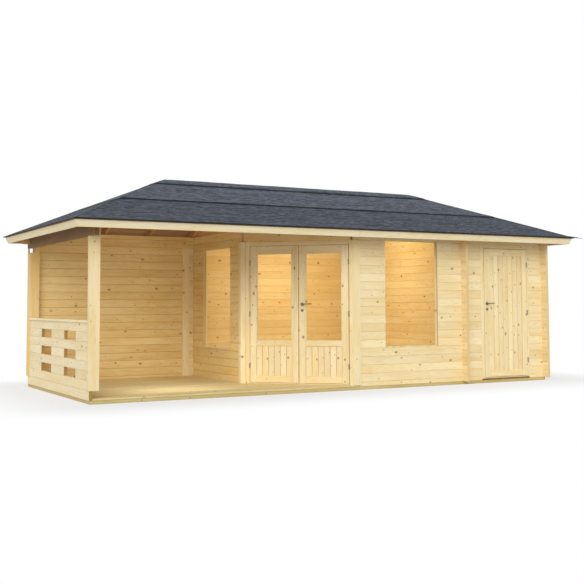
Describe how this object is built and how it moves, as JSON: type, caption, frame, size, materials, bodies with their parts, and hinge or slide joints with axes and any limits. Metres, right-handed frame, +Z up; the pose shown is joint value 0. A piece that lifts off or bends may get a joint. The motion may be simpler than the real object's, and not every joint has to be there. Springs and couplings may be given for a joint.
{
  "type": "summer_house",
  "caption": "Log summer house with a room behind glazed double doors in a cut corner, a side store and a covered terrace under one hipped felt roof",
  "frame": {"origin": "middle of the house's box at the level of the ground", "axes": "+X to the right along the front, +Y from the front to the back, +Z up"},
  "size_m": [8.3644, 3.7944, 3.0577],
  "materials": {
    "logs": "planed, untreated",
    "boards": "planed, untreated",
    "floor": "planed, worn",
    "bearers": "sawn, pressure treated",
    "felt": "mineral surface",
    "glass": "clear",
    "steel": "satin"
  },
  "bodies": {
    "house": {"ground_bearers": "bearers", "terrace_floor": "floor", "room_floor": "floor", "store_floor": "floor", "back_wall": "logs", "terrace_back_wall": "logs", "left_wall": "logs", "front_wall": "logs", "partition_wall": "logs", "store_front_left": "logs", "store_front_right": "logs", "store_front_top": "logs", "right_wall": "logs", "door_head_log": "logs", "corner_trim": "boards", "double_door_frame": "boards", "store_door_frame": "boards", "frame_hinges": "steel", "window_glass": "glass", "window_beads": "boards", "left_railing": "logs", "railing_cap": "boards", "front_left_post": "boards", "back_left_post": "boards", "side_plate": "logs", "front_plate": "logs", "rafters": "boards", "ridge_beam": "boards", "roof_boards": "boards", "roof_felt": "felt", "ridge_cap": "felt", "fascia_boards": "boards"},
    "left_door": {"left_door_leaf": "boards", "left_door_glass": "glass", "left_door_panel": "boards", "left_door_hinges": "steel"},
    "right_door": {"right_door_leaf": "boards", "right_door_glass": "glass", "right_door_panel": "boards", "right_door_fittings": "steel"},
    "right_lever": {"right_door_lever": "steel"},
    "store_door": {"store_door_leaf": "boards", "store_door_panel": "boards", "store_door_fittings": "steel"},
    "store_lever": {"store_door_lever": "steel"}
  },
  "joints": [
    {"name": "left_door_hinge", "type": "hinge", "parent": "house", "child": "left_door", "pos_m": [-1.10123, -0.43112, 0.085], "axis": [0, 0, -1], "range_deg": [0, 100]},
    {"name": "right_door_hinge", "type": "hinge", "parent": "house", "child": "right_door", "pos_m": [-0.04481, -1.48753, 0.085], "axis": [0, 0, 1], "range_deg": [0, 100]},
    {"name": "store_door_hinge", "type": "hinge", "parent": "house", "child": "store_door", "pos_m": [3.2994, -1.535, 0.085], "axis": [0, 0, 1], "range_deg": [0, 100]},
    {"name": "right_lever_turn", "type": "hinge", "parent": "right_door", "child": "right_lever", "pos_m": [-0.52776, -0.99044, 1.222], "axis": [0.7071, 0.7071, 0], "range_deg": [0, 40], "stiffness_Nm_per_rad": 1, "springref_deg": -20.05},
    {"name": "store_lever_turn", "type": "hinge", "parent": "store_door", "child": "store_lever", "pos_m": [2.4774, -1.525, 1.222], "axis": [0, 1, 0], "range_deg": [0, 40], "stiffness_Nm_per_rad": 1, "springref_deg": -20.05}
  ]
}
